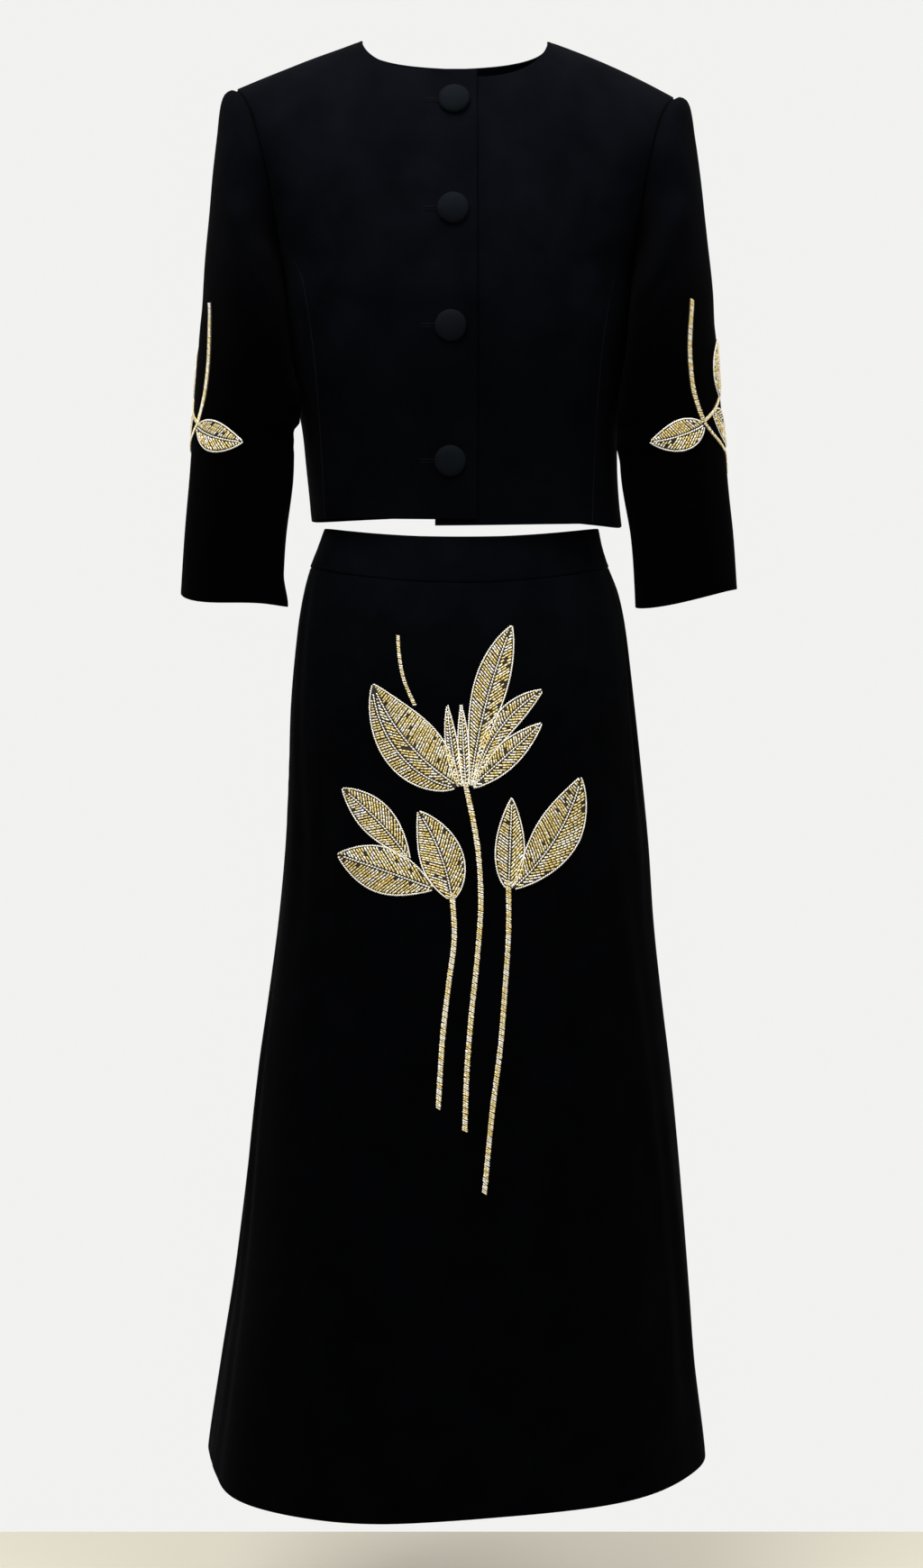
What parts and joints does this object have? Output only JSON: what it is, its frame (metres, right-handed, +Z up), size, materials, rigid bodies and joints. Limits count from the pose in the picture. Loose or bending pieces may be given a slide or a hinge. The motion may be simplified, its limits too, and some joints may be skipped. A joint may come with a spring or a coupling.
{
  "type": "two-piece skirt suit",
  "caption": "Cropped collarless jacket with covered buttons and raised leaf sprays on its sleeves, over a long A-line skirt with raised leaf sprays in front.",
  "frame": {"origin": "the middle of the wearer's shoulders, level with the jacket's shoulder seams, where the suit is held", "axes": "+Z up, -Y out of the suit's front, +X towards the wearer's left"},
  "size_m": [0.4996, 0.3691, 1.2968],
  "materials": {
    "jacket_cloth": "matt black heavy crepe with a fine grain",
    "button_cloth": "black crepe stretched over a button mould",
    "skirt_cloth": "matt black heavy crepe with a fine grain",
    "beading": "pale gold glass bugle beads and silver cord"
  },
  "bodies": {
    "root": {"jacket_front_right": "jacket_cloth", "jacket_front_left": "jacket_cloth", "jacket_side_front_right": "jacket_cloth", "jacket_side_front_left": "jacket_cloth", "jacket_back": "jacket_cloth", "sleeve_right": "jacket_cloth", "sleeve_left": "jacket_cloth", "button_1": "button_cloth", "button_2": "button_cloth", "button_3": "button_cloth", "button_4": "button_cloth", "waistband_front": "skirt_cloth", "waistband_back": "skirt_cloth", "skirt_front": "skirt_cloth", "skirt_back": "skirt_cloth", "skirt_spray_centre": "beading", "skirt_spray_left": "beading", "skirt_spray_right": "beading", "skirt_tendril": "beading", "sleeve_spray_right": "beading", "sleeve_spray_left": "beading"}
  },
  "joints": []
}
